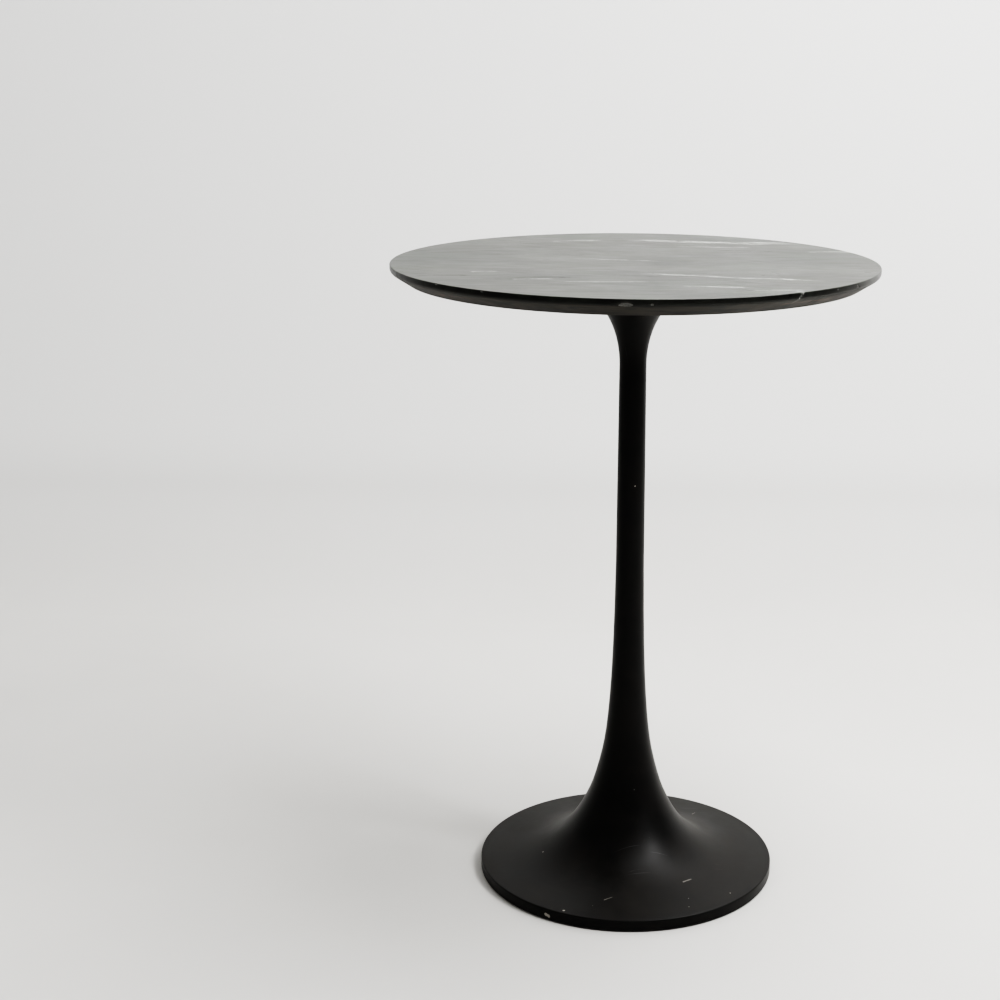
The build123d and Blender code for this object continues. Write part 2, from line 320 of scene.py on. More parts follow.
def ramp(tree, value, low, high, to_low=0.0, to_high=1.0):
    """A smooth step of value, from to_low at low to to_high at high."""
    made = put(tree, "MapRange", {"interpolation_type": "SMOOTHSTEP"}, Value=value)
    for name, number in (("From Min", low), ("From Max", high), ("To Min", to_low), ("To Max", to_high)):
        fill(tree, made.inputs[name], number)
    return made.outputs[0]


def colour(red, green, blue):
    """A colour with full alpha."""
    return (red, green, blue, 1.0)


def vector_maths(tree, operation, *values):
    """A Vector Math node."""
    made = put(tree, "VectorMath", {"operation": operation})
    for socket, value in zip(made.inputs, values):
        fill(tree, socket, value)
    return made


def emboss(tree, shader, height, depth, strength):
    """Bumps the surface by a height, up to depth mm deep."""
    bump = put(tree, "Bump", Height=height, Distance=depth * MM, Strength=strength)
    fill(tree, shader["Normal"], bump.outputs[0])


# %% [markdown]
# Effects that several finishes share become node groups. A group is built once, has named sockets
# like any other node, and is placed in each material with that material's own numbers.


# %% Make and use a node group
def new_group(name, inputs, outputs):
    """An empty shader group with named sockets, and its input and output nodes."""
    group = bpy.data.node_groups.new(name, "ShaderNodeTree")
    for label, default in inputs.items():
        kind = {float: "Float", tuple: "Color", Vector: "Vector"}[type(default)]
        socket = group.interface.new_socket(label, in_out="INPUT", socket_type="NodeSocket" + kind)
        socket.default_value = default
    for label, kind in outputs.items():
        group.interface.new_socket(label, in_out="OUTPUT", socket_type="NodeSocket" + kind)
    return group, group.nodes.new("NodeGroupInput").outputs, group.nodes.new("NodeGroupOutput").inputs


def use(tree, group, **inputs):
    """Places a group in a material and returns its outputs."""
    made = tree.nodes.new("ShaderNodeGroup")
    made.node_tree = group
    for key, value in inputs.items():
        fill(tree, made.inputs[key.replace("_", " ")], value)
    return made.outputs


# %% [markdown]
# **Cloudy tone.** No real surface has one colour. Stone, cast iron and even powder coat drift a
# little from place to place, so this group mixes two colours through a warped noise. `Stretch`
# squashes the noise along X, which turns clouds into the streaks of a bedded stone.

# %% Group: cloudy tone
cloudy_tone, given, result = new_group(
    "Cloudy tone",
    {"Vector": Vector(), "Stretch": Vector((1, 1, 1)), "Scale": 10.0, "Detail": 6.0, "Contrast": 0.25,
     "Dark": (0.0, 0.0, 0.0, 1.0), "Light": (1.0, 1.0, 1.0, 1.0)},
    {"Color": "Color", "Cloud": "Float"},
)
tree = cloudy_tone
stretched = vector_maths(tree, "MULTIPLY", given["Vector"], given["Stretch"])
cloud = put(
    tree, "TexNoise", Vector=stretched.outputs[0], Scale=given["Scale"], Detail=given["Detail"],
    Roughness=0.6, Distortion=0.35,
).outputs["Fac"]
low = minus(tree, 0.5, given["Contrast"])
high = plus(tree, 0.5, given["Contrast"])
shade = ramp(tree, cloud, low, high)
fill(tree, result["Color"], mix(tree, shade, given["Dark"], given["Light"]))
fill(tree, result["Cloud"], shade)
print("group:", tree.name, len(tree.nodes), "nodes")

# %% [markdown]
# ** Turned edge.** On a turned piece every edge is a circle, so wear along it is easy to find: it is
# where a point's distance to that circle is small. Noise breaks the band up, because hands and
# brooms never wear an edge evenly. On the foot's rim the same band also paints a highlight along
# the rounded edge.

# %% Group: turned edge
turned_edge, given, result = new_group(
    "Turned edge",
    {"Vector": Vector(), "Radius": 0.1, "Height": 0.0, "Width": 0.001, "Breakup": 60.0, "Share": 0.5},
    {"Mask": "Float"},
)
tree = turned_edge
axes = put(tree, "SeparateXYZ", Vector=given["Vector"]).outputs
x_squared = times(tree, axes["X"], axes["X"])
y_squared = times(tree, axes["Y"], axes["Y"])
flat_distance = maths(tree, "SQRT", plus(tree, x_squared, y_squared))
out = minus(tree, flat_distance, given["Radius"])
up = minus(tree, axes["Z"], given["Height"])
from_edge = maths(tree, "SQRT", plus(tree, times(tree, out, out), times(tree, up, up)))
near_edge = minus(tree, 1.0, maths(tree, "DIVIDE", from_edge, given["Width"]), clamp=True)
patches = put(
    tree, "TexNoise", Vector=given["Vector"], Scale=given["Breakup"], Detail=5.0, Roughness=0.7,
).outputs["Fac"]
wear_and_highlight = plus(tree, near_edge, minus(tree, patches, 1.0))
limit = minus(tree, 1.0, given["Share"])
fill(tree, result["Mask"], ramp(tree, wear_and_highlight, minus(tree, limit, 0.12), limit))
print("group:", tree.name, len(tree.nodes), "nodes")

# %% [markdown]
# **Specks.** Dust, grit and pinholes are small dots, far apart and all different. A Voronoi texture
# gives each cell one dot; the cell's random colour decides whether the dot exists and how big it is.

# %% Group: specks
specks, given, result = new_group(
    "Specks",
    {"Vector": Vector(), "Scale": 100.0, "Size": 0.2, "Share": 0.1},
    {"Mask": "Float"},
)
tree = specks
cells = put(tree, "TexVoronoi", Vector=given["Vector"], Scale=given["Scale"], Randomness=1.0)
chance = put(tree, "SeparateColor", Color=cells.outputs["Color"]).outputs
kept = maths(tree, "LESS_THAN", chance["Red"], given["Share"])
dot_size = times(tree, given["Size"], plus(tree, chance["Green"], 0.3))
dot = ramp(tree, cells.outputs["Distance"], times(tree, dot_size, 0.6), dot_size, 1.0, 0.0)
fill(tree, result["Mask"], times(tree, dot, kept))
print("group:", tree.name, len(tree.nodes), "nodes")

# %% [markdown]
# **Grain.** Powder coat is finely pebbled, cast iron is coarsely so, and honed stone has a tooth
# that only shows in a reflection. All three are noise at two sizes, handed on as a height for Bump.

# %% Group: grain
grain, given, result = new_group(
    "Grain",
    {"Vector": Vector(), "Scale": 400.0, "Coarse": 0.4},
    {"Height": "Float"},
)
tree = grain
fine_part = put(tree, "TexNoise", Vector=given["Vector"], Scale=given["Scale"], Detail=3.0).outputs["Fac"]
coarse_scale = times(tree, given["Scale"], 0.17)
coarse_part = put(tree, "TexNoise", Vector=given["Vector"], Scale=coarse_scale, Detail=2.0).outputs["Fac"]
fill(tree, result["Height"], plus(tree, fine_part, times(tree, coarse_part, given["Coarse"])))
print("group:", tree.name, len(tree.nodes), "nodes")

# %% [markdown]
# **Scratches.** A hairline scratch is noise stretched so far along one direction that only thin
# lines are left above a high threshold. A second, slow noise lets them come in groups.

# %% Group: scratches
scratches, given, result = new_group(
    "Scratches",
    {"Vector": Vector(), "Turn": Vector(), "Scale": 14.0, "Threshold": 0.7},
    {"Mask": "Float"},
)
tree = scratches
turned = put(tree, "Mapping", Vector=given["Vector"], Rotation=given["Turn"])
hairs = put(tree, "Mapping", Vector=turned.outputs[0], Scale=(1.0, 55.0, 1.0))
lines = put(
    tree, "TexNoise", Vector=hairs.outputs[0], Scale=given["Scale"], Detail=2.0, Distortion=0.15,
).outputs["Fac"]
groups_of = put(tree, "TexNoise", Vector=given["Vector"], Scale=9.0, Detail=2.0).outputs["Fac"]
thin = ramp(tree, lines, given["Threshold"], plus(tree, given["Threshold"], 0.04))
fill(tree, result["Mask"], times(tree, thin, ramp(tree, groups_of, 0.5, 0.62)))
print("group:", tree.name, len(tree.nodes), "nodes")

# %% [markdown]
# **Vein.** A vein is a crack that filled with lighter mineral, so it is a thin sheet inside the
# stone. On the polished face it shows as a line; where it reaches the edge it runs on down the edge,
# and leans as the sheet leans. The group measures how far a point lies across that sheet, after
# noise has bent it. `Start` is one end of the line, `Heading` its direction, `Lean` the sheet's tilt.

# %% Group: vein
vein, given, result = new_group(
    "Vein",
    {"Vector": Vector(), "Start": Vector(), "Heading": Vector(), "Length": 0.1, "Width": 0.001,
     "Wander": 0.004, "Lean": 0.3, "Gaps": 0.3, "Smear": 0.15},
    {"Mask": "Float"},
)
tree = vein
moved = vector_maths(tree, "SUBTRACT", given["Vector"], given["Start"])
along_vein = put(
    tree, "VectorRotate", {"rotation_type": "EULER_XYZ", "invert": True},
    Vector=moved.outputs[0], Rotation=given["Heading"],
).outputs[0]
axes = put(tree, "SeparateXYZ", Vector=along_vein).outputs
slow_bend = put(tree, "TexNoise", Vector=moved.outputs[0], Scale=16.0, Detail=1.0).outputs["Fac"]
quick_bend = put(tree, "TexNoise", Vector=moved.outputs[0], Scale=95.0, Detail=4.0).outputs["Fac"]
bend = plus(tree, minus(tree, slow_bend, 0.5),
             times(tree, minus(tree, quick_bend, 0.5), 0.3))
across = plus(tree, axes["Y"], times(tree, bend, given["Wander"]))
across = plus(tree, across, times(tree, axes["Z"], given["Lean"]))
thickness = put(tree, "TexNoise", Vector=moved.outputs[0], Scale=42.0, Detail=4.0, Roughness=0.65)
local_width = times(tree, given["Width"],
                    ramp(tree, thickness.outputs["Fac"], given["Gaps"], 0.72, 0.12, 2.1))
line = ramp(tree, maths(tree, "ABSOLUTE", across), 0.0, local_width, 1.0, 0.0)
smeared = put(tree, "Mapping", Vector=along_vein, Scale=(0.2, 1.5, 0.6))
smear = put(
    tree, "TexNoise", Vector=smeared.outputs[0], Scale=300.0, Detail=7.0, Roughness=0.75, Distortion=0.6,
).outputs["Fac"]
line = times(tree, line, ramp(tree, smear, 0.42, 0.66, given["Smear"], 1.0))
fade_in = ramp(tree, axes["X"], 0.0, times(tree, given["Length"], 0.12))
fade_out = ramp(tree, axes["X"], times(tree, given["Length"], 0.8), given["Length"], 1.0, 0.0)
fill(tree, result["Mask"], times(tree, line, times(tree, fade_in, fade_out)))
print("group:", tree.name, len(tree.nodes), "nodes")


# %% [markdown]
# ## Materials
#
# Every material starts the same way: an empty tree, one Principled BSDF and the object's own
# coordinates in metres. A piece's object sits at the origin, so those coordinates are the table's,
# and a pattern can be placed where it belongs.


# %% Start a material
def new_material(name, **constants):
    """A material with a Principled BSDF. Constants are set on the shader's own inputs."""
    made = bpy.data.materials.new(name)
    made.use_nodes = True
    tree = made.node_tree
    tree.nodes.clear()
    shader = put(tree, "BsdfPrincipled", None, **constants)
    surface = put(tree, "OutputMaterial")
    tree.links.new(shader.outputs[0], surface.inputs["Surface"])
    return made, tree, shader.inputs, put(tree, "TexCoord").outputs["Object"]


# %% [markdown]
# ### The polished stone
#
# A dark marble has a nearly black ground with a drift of brown and green, fine streaks along its
# bedding, a few white veins, and darker hairline cracks. The veins that matter most to the table's
# look are placed one by one. Each line below is a vein: where it starts, its heading in degrees, its
# length, its width, how far it wanders and how its sheet leans, with sizes in millimetres. The last
# white one crosses the edge: it heads straight outwards, and leans a lot.

# %% Where the veins lie
TOP = TOP_HEIGHT / MM
WHITE_VEINS = [
    (2, -76, TOP, -12.5, 176, 3.6, 13, 0.3),
    (-12, 168, TOP, -5.5, 190, 6.5, 18, 0.3),
    (30, 154, TOP, -3, 130, 2.4, 22, 0.3),
    (-86, 152, TOP, 13, 56, 5.0, 10, 0.3),
    (40, 118, TOP, -2, 80, 2.6, 8, 0.3),
    (168, 88, TOP, 4, 52, 4.2, 7, 0.3),
    (-76, -136, TOP, 5, 92, 2.4, 8, 0.3),
    (40, -150, TOP, -6, 62, 2.8, 7, 0.3),
    (100, -171, TOP, 4, 46, 2.6, 5, 1.6),
    (-148, -76, TOP, 6, 26, 3.8, 5, 0.3),
    (-108, -121, TOP, 7, 40, 3.0, 5, 0.3),
    (-60, 20, TOP, -8, 90, 1.6, 14, 0.3),
    (136, -170, TOP, -51.5, 30, 1.5, 3, -0.85),
]
RUSTY_VEINS = [  # these lie almost level, so they run along the bevel
    (118, -182, 604.5, 36, 70, 12, 26, 8.0),
    (-170, -128, 603.5, -35, 60, 9, 26, 8.0),
    (60, 208, 605.0, 160, 90, 10, 26, 8.0),
]
DARK_CRACKS = [
    (-194, -105, TOP, 5, 52, 2.6, 6, 0.3),
    (-106, -110, TOP, 5, 56, 2.8, 5, 0.3),
    (-150, -124, TOP, 3, 70, 1.6, 8, 0.3),
    (-30, -92, TOP, -3, 60, 1.3, 8, 0.3),
    (112, -80, TOP, 4, 20, 2.2, 4, 0.3),
    (60, 96, TOP, -7, 90, 1.3, 9, 0.3),
    (-150, 42, TOP, 6, 120, 1.3, 12, 0.3),
]


def vein_masks(tree, where, lines, gaps=0.3, smear=0.08):
    """The masks of a list of veins, added together."""
    total = 0.0
    for x, y, z, heading, length, width, wander, lean in lines:
        mask = use(
            tree, vein, Vector=where, Start=(x * MM, y * MM, z * MM), Heading=(0, 0, radians(heading)),
            Length=length * MM, Width=width * MM, Wander=wander * MM, Lean=lean, Gaps=gaps, Smear=smear,
        )["Mask"]
        total = plus(tree, total, mask, clamp=True)
    return total


# %% [markdown]
# The bedding isn't straight. A slow noise pushes the coordinates aside before the streaks are drawn,
# so they flow, and a quick noise does the same to the mineral specks, so their outlines crumble.


# %% Coordinates pushed aside by noise
def pushed_aside(tree, where, scale, detail, reach):
    """Coordinates moved by noise, at most as far as reach."""
    drift = put(tree, "TexNoise", Vector=where, Scale=scale, Detail=detail).outputs["Color"]
    return vector_maths(tree, "MULTIPLY_ADD", drift, reach, where).outputs[0]


# %% Material: polished stone
stone_finish, tree, shader, where = new_material("polished_dark_marble", IOR=1.5)
shader["Specular IOR Level"].default_value = 0.42

flowing = pushed_aside(tree, where, 9.0, 1.5, (0.03, 0.032, 0.03))
crumbled = pushed_aside(tree, where, 700.0, 3.0, (0.004, 0.002, 0.002))
ground = use(
    tree, cloudy_tone, Vector=flowing, Stretch=(0.4, 1.4, 1.0), Scale=26.0, Contrast=0.22,
    Dark=colour(0.0078, 0.0102, 0.0074), Light=colour(0.031, 0.0385, 0.0285),
)
streaks = use(
    tree, cloudy_tone, Vector=flowing, Stretch=(0.24, 1.5, 1.5), Scale=90.0, Detail=14.0, Contrast=0.2,
    Dark=colour(0.15, 0.15, 0.15), Light=colour(2.3, 2.3, 2.2),
)
bedded = mix(tree, 0.85, ground["Color"], streaks["Color"], "MULTIPLY")
brown_drift = use(
    tree, cloudy_tone, Vector=where, Stretch=(0.5, 1.2, 1.0), Scale=9.0, Contrast=0.1,
)["Cloud"]
drifted = mix(tree, times(tree, brown_drift, 0.3), bedded, colour(0.04, 0.031, 0.024))

steepness = put(tree, "SeparateXYZ", Vector=put(tree, "NewGeometry").outputs["Normal"]).outputs["Z"]
downward = ramp(tree, steepness, -0.35, -0.75)
level = ramp(tree, steepness, 0.3, 0.8)
rust = use(
    tree, cloudy_tone, Vector=where, Stretch=(0.35, 0.35, 2.6), Scale=70.0, Detail=7.0, Contrast=0.09,
)["Cloud"]
bevel_tone = mix(
    tree, times(tree, rust, 0.35), colour(0.013, 0.0135, 0.011), colour(0.06, 0.045, 0.031))
on_bevel = ramp(tree, steepness, -0.97, -0.93)
rusty = times(tree, vein_masks(tree, where, RUSTY_VEINS), on_bevel)
bevel_tone = mix(tree, rusty, bevel_tone, colour(0.1, 0.07, 0.047))
# Painted shade: every face that isn't level is darkened to 30 per cent of the stone's colour, which makes
# the upright edge dark. The bevel and underside take their own tone.
painted_edge_shade = mix(tree, level, colour(0.3, 0.3, 0.3), colour(1, 1, 1))
bevel_and_shaded_edge = mix(tree, downward, mix(tree, 1.0, drifted, painted_edge_shade, "MULTIPLY"), bevel_tone)

veins = vein_masks(tree, where, WHITE_VEINS)
cracks = vein_masks(tree, where, DARK_CRACKS)
minerals = use(tree, specks, Vector=crumbled, Scale=420.0, Size=0.3, Share=0.22)["Mask"]
# The mineral specks are painted much fainter where faces aren't level, as part of the same painted shade on
# the edge.
mineral_share = times(tree, minerals, plus(tree, 0.05, times(tree, level, 0.25)))
with_minerals = mix(tree, mineral_share, bevel_and_shaded_edge, colour(0.13, 0.135, 0.12))
with_cracks = mix(tree, cracks, with_minerals, colour(0.004, 0.004, 0.004))
vein_strength = minus(tree, 0.95, times(tree, downward, 0.72))
with_veins = mix(tree, times(tree, veins, vein_strength), with_cracks, colour(0.55, 0.56, 0.53))
ARRIS = 0.4 * MM  # how far the worn line lies inside the slab's sharp corner
worn_arris = use(
    tree, turned_edge, Vector=where, Radius=TOP_RADIUS - ARRIS, Height=TOP_HEIGHT - ARRIS,
    Width=1.8 * MM, Breakup=55.0, Share=0.3,
)["Mask"]
with_wear = mix(tree, times(tree, worn_arris, 0.7), with_veins, colour(0.07, 0.07, 0.066))
fill(tree, shader["Base Color"], with_wear)

rubbed = use(tree, scratches, Vector=where, Turn=(0, 0, radians(24)), Scale=12.0, Threshold=0.66)["Mask"]
haze = use(tree, cloudy_tone, Vector=where, Scale=14.0, Contrast=0.3)["Cloud"]
fill(tree, shader["Roughness"], layered(
    tree, 0.26, (haze, 0.07), (streaks["Cloud"], 0.07), (rubbed, 0.14), (worn_arris, 0.25),
    (downward, 0.26), (cracks, 0.3),
))
tooth = use(tree, grain, Vector=where, Scale=900.0, Coarse=0.6)["Height"]
relief = layered(tree, 0.0, (tooth, 0.25), (cracks, -1.5), (rubbed, -0.3), (streaks["Cloud"], 0.25))
emboss(tree, shader, relief, 0.04, 0.6)
print("material:", stone_finish.name, len(tree.nodes), "nodes")

# %% [markdown]
# ### Broken stone
#
# Where the edge has been knocked, the polish is gone and the fresh break is pale, dull and granular.

# %% Material: broken stone
broken_stone, tree, shader, where = new_material("broken_marble", IOR=1.5)
fresh = use(
    tree, cloudy_tone, Vector=where, Scale=1600.0, Contrast=0.25,
    Dark=colour(0.055, 0.055, 0.052), Light=colour(0.2, 0.2, 0.185),
)
fill(tree, shader["Base Color"], fresh["Color"])
fill(tree, shader["Roughness"], plus(tree, 0.62, times(tree, fresh["Cloud"], 0.2)))
crystals = use(tree, grain, Vector=where, Scale=2200.0, Coarse=1.0)["Height"]
emboss(tree, shader, crystals, 0.1, 0.8)
print("material:", broken_stone.name, len(tree.nodes), "nodes")

# %% [markdown]
# ### Black powder coat
#
# Powder coat is plastic melted onto metal: black, half matt, with a fine pebble like orange peel. In
# use it gathers dust on whatever faces up, a few pale specks and short scratches, and it chips along
# the rim of the foot, where brooms and shoes meet it. The marks that catch the eye are placed one by
# one, the rest is left to chance. A chip is a small ball in space whose outline noise has bent.

# %% Group: chip, and where the chips and scratches are
chip, given, result = new_group(
    "Chip",
    {"Vector": Vector(), "Centre": Vector(), "Size": 0.001},
    {"Mask": "Float"},
)
tree = chip
moved = vector_maths(tree, "SUBTRACT", given["Vector"], given["Centre"])
reach = vector_maths(tree, "LENGTH", moved.outputs[0])
ragged = put(tree, "TexNoise", Vector=given["Vector"], Scale=320.0, Detail=3.0).outputs["Fac"]
bent = times(tree, reach.outputs["Value"], ramp(tree, ragged, 0.3, 0.7, 0.72, 1.35))
solid_part = times(tree, given["Size"], 0.75)
fill(tree, result["Mask"], ramp(tree, bent, solid_part, given["Size"], 1.0, 0.0))

COAT_CHIPS = [  # x, y, z and size, in mm
    (-75.4, -126.5, 6.0, 2.4), (-72.6, -127.9, 5.0, 2.0), (-57.8, -129.5, 12.6, 1.2),
    (-83.0, -26.9, 22.6, 0.8), (102.4, -87.5, 13.0, 0.8), (3.7, -12.8, 401.5, 0.65),
    (118.0, 87.0, 11.0, 2.0), (-31.0, 143.0, 10.5, 2.4),
]
COAT_SCRATCHES = [  # laid out as the veins are
    (-20.5, -112.8, 15.4, 28.7, 11, 0.8, 1.2, 0.0),
    (56.0, -79.0, 19.1, 37.5, 12.5, 1.1, 1.0, 0.0),
    (-60.0, 70.0, 19.0, -20.0, 13, 0.5, 1.5, 0.0),
    (70.0, 84.0, 17.0, 60.0, 8, 0.6, 1.5, 0.0),
]
print("group:", tree.name, "- chips placed:", len(COAT_CHIPS), "scratches placed:", len(COAT_SCRATCHES))

# %% Material: powder coat
powder_coat, tree, shader, where = new_material("black_powder_coat", IOR=1.5)
shader["Specular IOR Level"].default_value = 0.22
coat = use(
    tree, cloudy_tone, Vector=where, Scale=30.0, Contrast=0.25,
    Dark=colour(0.0044, 0.0044, 0.0044), Light=colour(0.0088, 0.0078, 0.0070),
)
facing = put(tree, "NewGeometry").outputs["Normal"]
upward = ramp(tree, put(tree, "SeparateXYZ", Vector=facing).outputs["Z"], 0.5, 1.0)
dust_cloud = use(tree, cloudy_tone, Vector=where, Scale=16.0, Detail=9.0, Contrast=0.2)["Cloud"]
dust = times(tree, upward, plus(tree, 0.35, times(tree, dust_cloud, 0.65)))
dusty = mix(tree, times(tree, dust, 0.038), coat["Color"], colour(0.3, 0.27, 0.24))
grit = times(tree, use(tree, specks, Vector=where, Scale=130.0, Size=0.1, Share=0.03)["Mask"],
             ramp(tree, upward, 0.0, 0.4, 0.2, 1.0))
gritty = mix(tree, times(tree, grit, 0.6), dusty, colour(0.36, 0.36, 0.34))
scuffs = use(tree, scratches, Vector=where, Turn=(0, 0, radians(-12)), Scale=16.0, Threshold=0.7)["Mask"]
scuffed = mix(tree, times(tree, scuffs, 0.3), gritty, colour(0.1, 0.1, 0.1))
# The pale line round the top edge of the foot's rim is partly wear and partly a painted highlight of that
# rounded edge.
rim_wear_and_highlight = use(
    tree, turned_edge, Vector=where, Radius=FOOT_RADIUS - 0.5 * MM, Height=11.5 * MM, Width=1.5 * MM,
    Breakup=38.0, Share=0.3,
)["Mask"]
wear_and_highlight = mix(tree, times(tree, rim_wear_and_highlight, 0.8), scuffed, colour(0.2, 0.19, 0.18))
chips = times(tree, vein_masks(tree, where, COAT_SCRATCHES, gaps=0.2, smear=0.6), upward)
for x, y, z, size in COAT_CHIPS:
    chips = plus(tree, chips, use(
        tree, chip, Vector=where, Centre=(x * MM, y * MM, z * MM), Size=size * MM)["Mask"], clamp=True)
fill(tree, shader["Base Color"], mix(tree, chips, wear_and_highlight, colour(0.3, 0.28, 0.25)))
fill(tree, shader["Roughness"], layered(
    tree, 0.37, (coat["Cloud"], 0.05), (dust, 0.08), (rim_wear_and_highlight, -0.1)))
pebble = use(tree, grain, Vector=where, Scale=950.0, Coarse=0.9)["Height"]
emboss(tree, shader, layered(tree, pebble, (chips, -1.5)), 0.06, 0.5)
print("material:", powder_coat.name, len(tree.nodes), "nodes")


# %% [markdown]
# ### Metals, rubber and nylon
#
# The hardware underneath needs four metals, and they differ only in numbers: the colour's drift, the
# roughness and the size of the grain. One function with those numbers as its arguments says so more
# clearly than four copies would.


# %% A drifting metal or plastic
def plain_finish(name, dark, light, roughness, metallic, grain_scale, grain_depth, cloud_scale=90.0):
    """A finish whose colour and roughness drift, with a grained surface."""
    made, tree, shader, where = new_material(name, Metallic=metallic)
    tone = use(tree, cloudy_tone, Vector=where, Scale=cloud_scale, Contrast=0.3,
               Dark=colour(*dark), Light=colour(*light))
    marks = use(tree, scratches, Vector=where, Scale=60.0, Threshold=0.64)["Mask"]
    fill(tree, shader["Base Color"], mix(tree, times(tree, marks, 0.4), tone["Color"],
                                         colour(*[min(1.0, part * 1.8) for part in light])))
    fill(tree, shader["Roughness"], plus(tree, roughness, times(tree, tone["Cloud"], 0.12)))
    height = use(tree, grain, Vector=where, Scale=grain_scale, Coarse=1.0)["Height"]
    emboss(tree, shader, height, grain_depth, 0.7)
    print("material:", name, len(tree.nodes), "nodes")
    return made


# %% Materials: hardware
zinc = plain_finish("zinc_plate", (0.36, 0.36, 0.34), (0.62, 0.62, 0.58), 0.3, 1.0, 1500, 0.02)
black_oxide = plain_finish(
    "black_oxide_steel", (0.02, 0.02, 0.022), (0.055, 0.053, 0.05), 0.34, 0.8, 1800, 0.015)
brass = plain_finish("turned_brass", (0.5, 0.34, 0.12), (0.75, 0.56, 0.26), 0.28, 1.0, 1500, 0.01)
rubber = plain_finish("rubber_sheet", (0.012, 0.012, 0.012), (0.03, 0.03, 0.029), 0.68, 0.0, 800, 0.05)
nylon = plain_finish("black_nylon", (0.016, 0.016, 0.016), (0.034, 0.033, 0.032), 0.42, 0.0, 1100, 0.03)
cast_iron = plain_finish(
    "primed_cast_iron", (0.02, 0.019, 0.018), (0.06, 0.052, 0.045), 0.6, 0.15, 520, 0.35, cloud_scale=35.0)

# %% [markdown]
# ## The stone slab
#
# The slab is cut from its node's section and spun in small steps, because its rim is the longest
# smooth curve in the picture. Then come the knocks of use: shallow shells broken out of the edge.
# Each is cut by a lumpy pebble, an icosphere that noise has pushed out of round, so no two breaks
# match. The blind holes for the threaded inserts are cut in the same way, from below. At the end the
# level faces are shaded flat, because smooth shading across such long thin faces shows as wedges.

# %% Cutters for the chips in the edge
CHIPS = [  # angle in degrees, depth below the top, how far in, then the pebble's three half-sizes, in mm
    (-91.6, 5.7, 0.3, 6.2, 1.1, 2.7),
    (-86.2, 4.6, 0.3, 1.5, 0.7, 1.1),
    (-138.0, 0.3, 0.2, 2.2, 1.0, 0.9),
    (-124.0, 1.2, 0.1, 1.4, 0.6, 0.7),
    (-40.3, 2.0, 0.1, 1.2, 0.6, 0.8),
    (-31.5, 3.4, 0.2, 1.6, 0.7, 0.9),
    (-52.0, 0.2, 0.1, 2.0, 0.8, 0.8),
    (28.0, 0.2, 0.2, 2.6, 1.0, 0.9),
    (117.0, 4.9, 0.4, 2.4, 0.9, 1.4),
    (164.0, 0.4, 0.2, 1.8, 0.8, 0.7),
]
PROUD = 0.35  # how far a pebble's centre stands outside the rim before it moves in, in mm
LUMPINESS = 0.22  # how far noise pushes a pebble out of round, as a share of its radius


def pebble_cutters():
    """All the pebbles as one bmesh, each standing on the rim at its own angle."""
    bm = bmesh.new()
    for angle, down, inward, along, deep, tall in CHIPS:
        verts = bmesh.ops.create_icosphere(bm, subdivisions=3, radius=1.0)["verts"]
        for vert in verts:
            vert.co *= 1 + LUMPINESS * noise.noise(vert.co * 1.6 + Vector((angle, 0, 0)))
        bmesh.ops.scale(bm, verts=verts, vec=(deep * MM, along * MM, tall * MM))
        place = (TOP_RADIUS + (PROUD - inward) * MM, 0, TOP_HEIGHT - down * MM)
        bmesh.ops.translate(bm, verts=verts, vec=place)
        bmesh.ops.rotate(bm, verts=verts, cent=(0, 0, 0), matrix=Matrix.Rotation(radians(angle), 3, "Z"))
    return bm


# %% Turn the slab and break its edge
slab = half_section("stone_top")
add_support(slab)
turn(slab, 288)
slab = combine(slab, pebble_cutters(), "DIFFERENCE", [stone_finish], [broken_stone])

insert_low, insert_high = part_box("stone_inserts")
insert_places = four_places("stone_inserts")
insert_radius = insert_high.x - insert_places[0].x
holes = repeat_at(drum(insert_radius, insert_low.z - 1 * MM, insert_high.z), insert_places)
slab = combine(slab, holes, "DIFFERENCE", [stone_finish, broken_stone], [broken_stone])
slab_piece = finish_piece(slab, "stone_slab", "stone_top", [stone_finish, broken_stone], sharp=28)
for polygon in slab_piece.data.polygons:
    polygon.use_smooth = abs(polygon.normal.z) < 0.9999
print("slab materials used:", sorted({face.material_index for face in slab_piece.data.polygons}))

# %% [markdown]
# ## The trumpet casting
#
# The casting is one turned shape: flange, stem, trumpet and hollow foot. Its section is spun, the
# leveller bosses are joined on inside the rim, and the tapped holes are cut. The bosses get a draft,
# a slight taper, because a pattern has to pull out of the sand.

# %% Turn the casting and add its bosses
casting = half_section("pedestal")
add_support(casting, near=1.0 * MM, long_edge=30 * MM)
turn(casting, 216)
print("casting: rings", len(casting.verts) // 216)

stud_low, stud_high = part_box("leveller_stud_1")
foot_low, foot_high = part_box("leveller_foot_1")
leveller_places = [
    Vector(((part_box(f"leveller_foot_{n}")[0].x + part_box(f"leveller_foot_{n}")[1].x) / 2,
            (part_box(f"leveller_foot_{n}")[0].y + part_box(f"leveller_foot_{n}")[1].y) / 2, 0))
    for n in (1, 2, 3, 4)
]
BOSS_BOTTOM = foot_high.z + 0.3 * MM
BOSS_TOP = stud_high.z + 1.4 * MM
BOSS_RADIUS = 9 * MM
STUD_RADIUS = 4 * MM
M6_RADIUS = 3 * MM
THREAD_GAP = 0.05 * MM

boss = outline([
    (0, BOSS_BOTTOM), (BOSS_RADIUS - 0.8 * MM, BOSS_BOTTOM),
    (BOSS_RADIUS - 0.3 * MM, BOSS_BOTTOM + 0.5 * MM), (BOSS_RADIUS, BOSS_TOP), (0, BOSS_TOP),
])
turn(boss, 48)
coat_only = [powder_coat]
casting = combine(casting, repeat_at(boss, leveller_places), "UNION", coat_only, coat_only)
leveller_hole = drum(STUD_RADIUS + THREAD_GAP, BOSS_BOTTOM - 1 * MM, stud_high.z + 0.5 * MM, 32)
casting = combine(casting, repeat_at(leveller_hole, leveller_places), "DIFFERENCE", coat_only, coat_only)

